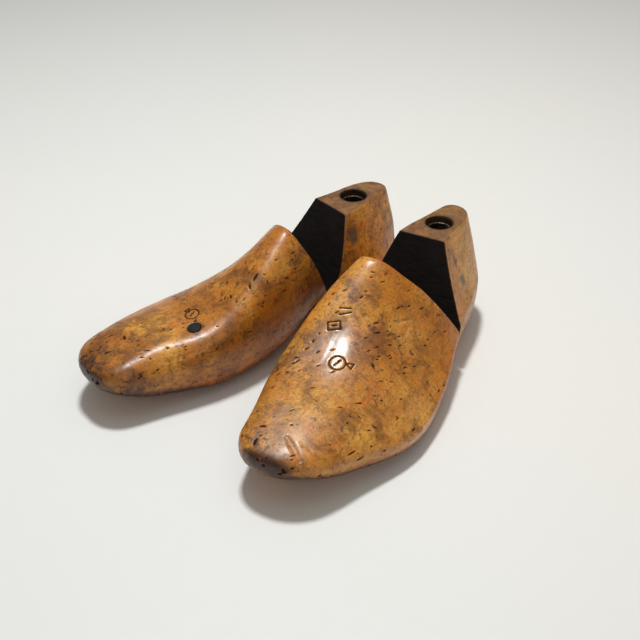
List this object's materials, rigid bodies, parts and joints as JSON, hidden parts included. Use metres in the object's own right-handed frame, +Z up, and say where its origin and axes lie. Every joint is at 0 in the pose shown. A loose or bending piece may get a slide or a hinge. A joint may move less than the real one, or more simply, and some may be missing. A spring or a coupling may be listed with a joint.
{
  "type": "shoe last pair",
  "caption": "Pair of hinged wooden shoe lasts with a V notch above the hinge, a lined hole in each heel top, and a heel block that folds up on a steel link.",
  "frame": {"origin": "on the floor, under the centre of the bounding box of the pair", "axes": "+Z up, toes towards -Y, the left foot's last on the +X side"},
  "size_m": [0.2082, 0.2438, 0.0799],
  "materials": {
    "last_wood": "old amber varnish over close-grained wood, polished by handling, with dark scars; the sawn faces are stained nearly black",
    "hinge_steel": "dull grey steel, browned with age",
    "spring_steel": "dark oiled spring wire",
    "pin_steel": "dull steel with ground ends",
    "thimble_steel": "worn dark steel tube",
    "dark_peg": "blue-black stained peg, level with the wood"
  },
  "bodies": {
    "left_forepart": {"left_forepart": "last_wood", "left_front_pin": "pin_steel"},
    "left_link": {"left_hinge_link": "hinge_steel", "left_hinge_spring": "spring_steel"},
    "left_heel": {"left_heel_block": "last_wood", "left_rear_pin": "pin_steel", "left_thimble": "thimble_steel"},
    "right_forepart": {"right_forepart": "last_wood", "right_front_pin": "pin_steel", "right_vamp_peg": "dark_peg"},
    "right_link": {"right_hinge_link": "hinge_steel", "right_hinge_spring": "spring_steel"},
    "right_heel": {"right_heel_block": "last_wood", "right_rear_pin": "pin_steel", "right_thimble": "thimble_steel"}
  },
  "joints": [
    {"name": "left_link_swing", "type": "hinge", "parent": "left_forepart", "child": "left_link", "pos_m": [0.04274, 0.03516, 0.026], "axis": [0.9806, 0.1959, 0], "range_deg": [0, 20]},
    {"name": "left_heel_fold", "type": "hinge", "parent": "left_link", "child": "left_heel", "pos_m": [0.03765, 0.06066, 0.026], "axis": [0.9806, 0.1959, 0], "range_deg": [0, 20]},
    {"name": "right_link_swing", "type": "hinge", "parent": "right_forepart", "child": "right_link", "pos_m": [-0.04274, 0.02956, 0.026], "axis": [0.9806, -0.1959, 0], "range_deg": [0, 20]},
    {"name": "right_heel_fold", "type": "hinge", "parent": "right_link", "child": "right_heel", "pos_m": [-0.03765, 0.05506, 0.026], "axis": [0.9806, -0.1959, 0], "range_deg": [0, 20]},
    {"name": "right_last_slide", "type": "slide", "parent": "left_forepart", "child": "right_forepart", "axis": [-1, 0, 0], "range_m": [0, 0.12]}
  ],
  "couplings": [
    {"joint": "left_heel_fold", "follows": "left_link_swing", "ratio": 1},
    {"joint": "right_heel_fold", "follows": "right_link_swing", "ratio": 1}
  ]
}
